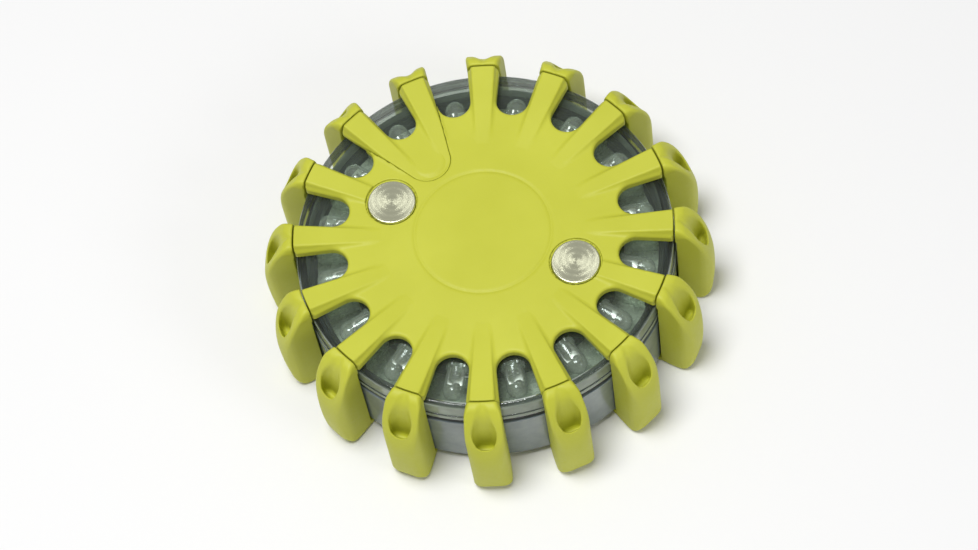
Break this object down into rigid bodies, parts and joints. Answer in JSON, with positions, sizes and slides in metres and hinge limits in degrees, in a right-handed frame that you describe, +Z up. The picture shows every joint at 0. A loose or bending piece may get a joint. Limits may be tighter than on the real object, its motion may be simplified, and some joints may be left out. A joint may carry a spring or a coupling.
{
  "type": "led safety flare",
  "caption": "Round puck-shaped road safety flare: finned yellow shell around a clear light puck with a ring of lamps, press tongue, magnet discs and a replaceable cell.",
  "frame": {"origin": "centre of the bottom face, on the surface the flare stands on", "axes": "+Z up through the puck, one fin points along -Y"},
  "size_m": [0.1086, 0.1086, 0.0318],
  "materials": {
    "shell_plastic": "satin",
    "turned_steel": "lathe-turned",
    "magnet_nickel": "plated",
    "clear_polycarbonate": "clear",
    "smoky_polycarbonate": "translucent",
    "seal_rubber": "satin",
    "boot_rubber": "matt",
    "board_laminate": "solder mask",
    "screw_steel": "plated",
    "tinned_wire": "tinned",
    "led_epoxy": "clear",
    "reflector_silver": "metallised",
    "switch_body": "matt",
    "switch_cap": "satin",
    "chip_epoxy": "matt",
    "ferrite": "matt",
    "capacitor_can": "satin",
    "resistor_ceramic": "satin",
    "holder_plastic": "satin",
    "contact_metal": "nickel plated",
    "cell_steel": "plated",
    "cell_wrap": "gloss",
    "foam": "matt"
  },
  "bodies": {
    "cage": {"shell_cage": "shell_plastic"},
    "cover": {"shell_cover": "shell_plastic", "magnet_cup_left": "turned_steel", "magnet_cup_right": "turned_steel", "magnet_core_left": "magnet_nickel", "magnet_core_right": "magnet_nickel"},
    "button": {"power_button": "shell_plastic"},
    "lens_cap": {"lens": "clear_polycarbonate", "foam_pad": "foam"},
    "boot": {"switch_boot": "boot_rubber"},
    "puck_base": {"lower_housing": "smoky_polycarbonate", "o_ring_seal": "seal_rubber", "circuit_board": "board_laminate", "board_screws": "screw_steel", "led_leads": "tinned_wire", "reflector_ring": "reflector_silver", "tact_switch": "switch_body", "microcontroller": "chip_epoxy", "driver_inductor": "ferrite", "smoothing_capacitor": "capacitor_can", "chip_resistors": "resistor_ceramic", "battery_holder": "holder_plastic", "contact_plus": "contact_metal", "contact_minus": "contact_metal", "contact_spring": "contact_metal", "led_01": "led_epoxy", "led_02": "led_epoxy", "led_03": "led_epoxy", "led_04": "led_epoxy", "led_05": "led_epoxy", "led_06": "led_epoxy", "led_07": "led_epoxy", "led_08": "led_epoxy", "led_09": "led_epoxy", "led_10": "led_epoxy", "led_11": "led_epoxy", "led_12": "led_epoxy", "led_13": "led_epoxy", "led_14": "led_epoxy", "led_15": "led_epoxy", "led_16": "led_epoxy"},
    "plunger": {"switch_plunger": "switch_cap"},
    "battery": {"battery_can": "cell_steel", "battery_sleeve": "cell_wrap", "battery_nub": "cell_steel"}
  },
  "joints": [
    {"name": "cover_lift", "type": "slide", "parent": "cage", "child": "cover", "axis": [0, 0, 1], "range_m": [0, 0.1]},
    {"name": "button_press", "type": "hinge", "parent": "cover", "child": "button", "pos_m": [-0.02467, 0.03692, 0.0285], "axis": [0.8315, 0.5556, 0], "range_deg": [0, 2.24], "stiffness_Nm_per_rad": 1.5},
    {"name": "lens_lift", "type": "slide", "parent": "cage", "child": "lens_cap", "axis": [0, 0, 1], "range_m": [0, 0.07]},
    {"name": "boot_press", "type": "slide", "parent": "lens_cap", "child": "boot", "axis": [0, 0, -1], "range_m": [0, 0.0007]},
    {"name": "base_lift", "type": "slide", "parent": "cage", "child": "puck_base", "axis": [0, 0, 1], "range_m": [0, 0.025]},
    {"name": "plunger_press", "type": "slide", "parent": "puck_base", "child": "plunger", "axis": [0, 0, -1], "range_m": [0, 0.0007]},
    {"name": "battery_lift", "type": "slide", "parent": "cage", "child": "battery", "axis": [0, 0, 1], "range_m": [0, 0.045]}
  ],
  "couplings": [
    {"joint": "lens_lift", "follows": "cover_lift", "ratio": 0.7},
    {"joint": "battery_lift", "follows": "cover_lift", "ratio": 0.45},
    {"joint": "base_lift", "follows": "cover_lift", "ratio": 0.25},
    {"joint": "boot_press", "follows": "button_press", "m_per_rad": 0.0179},
    {"joint": "plunger_press", "follows": "button_press", "m_per_rad": 0.0179}
  ]
}
